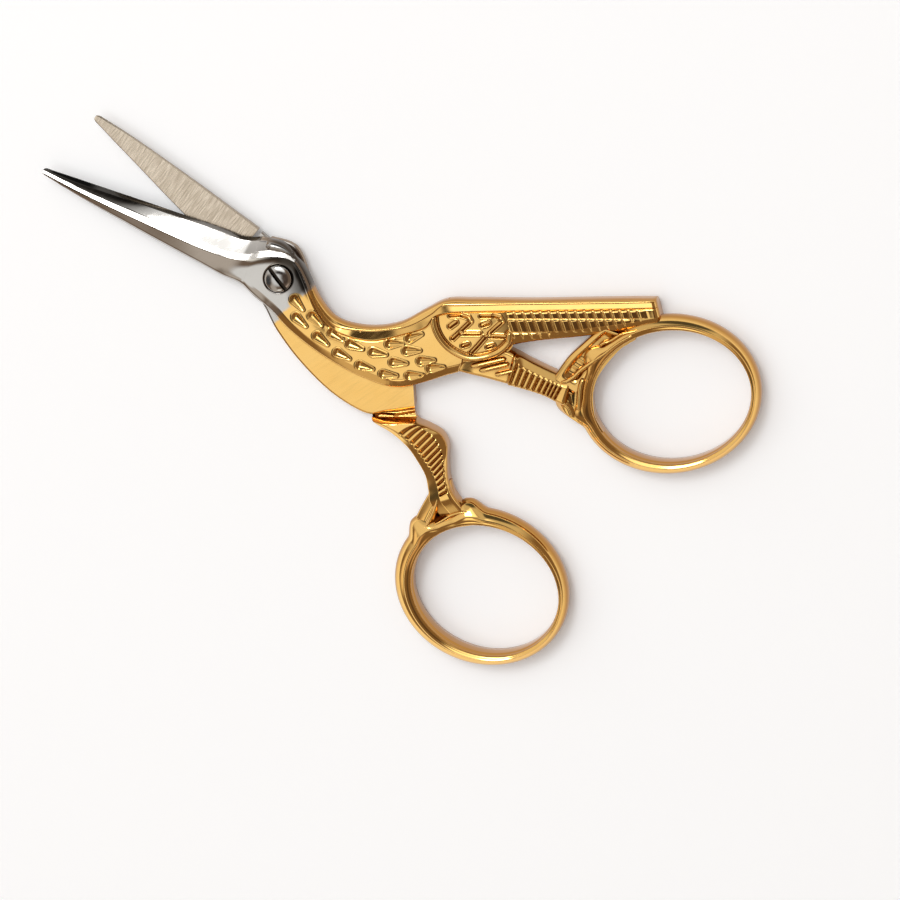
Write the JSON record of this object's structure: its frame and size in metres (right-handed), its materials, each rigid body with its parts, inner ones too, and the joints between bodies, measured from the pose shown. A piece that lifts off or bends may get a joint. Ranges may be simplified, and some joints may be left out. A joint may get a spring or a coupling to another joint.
{
  "type": "stork embroidery scissors",
  "caption": "Small embroidery scissors in the shape of a long-beaked bird: the blades are the beak, the finger rings stand on its legs, and the halves turn on a slotted screw.",
  "frame": {"origin": "on the pivot axis, in the plane that the backs of the rings lie on, at the screw's flush end", "axes": "+X along the bird's tail, away from the blades; +Y towards the bird's back; +Z along the pivot, towards the screw's slotted head. The scissors stand open as pictured"},
  "size_m": [0.0915, 0.0697, 0.0042],
  "materials": {
    "front_half": "gold plated, polished, with bare polished steel on the blade and head",
    "back_half": "gold plated, polished, with bare ground steel on the blade and head",
    "pivot_screw": "polished steel"
  },
  "bodies": {
    "front": {"front_half": "front_half"},
    "back": {"back_half": "back_half", "pivot_screw": "pivot_screw"}
  },
  "joints": [
    {"name": "pivot", "type": "hinge", "parent": "front", "child": "back", "pos_m": [0, 0, 0.00205], "axis": [0, 0, 1], "range_deg": [-80, 16.5]}
  ]
}
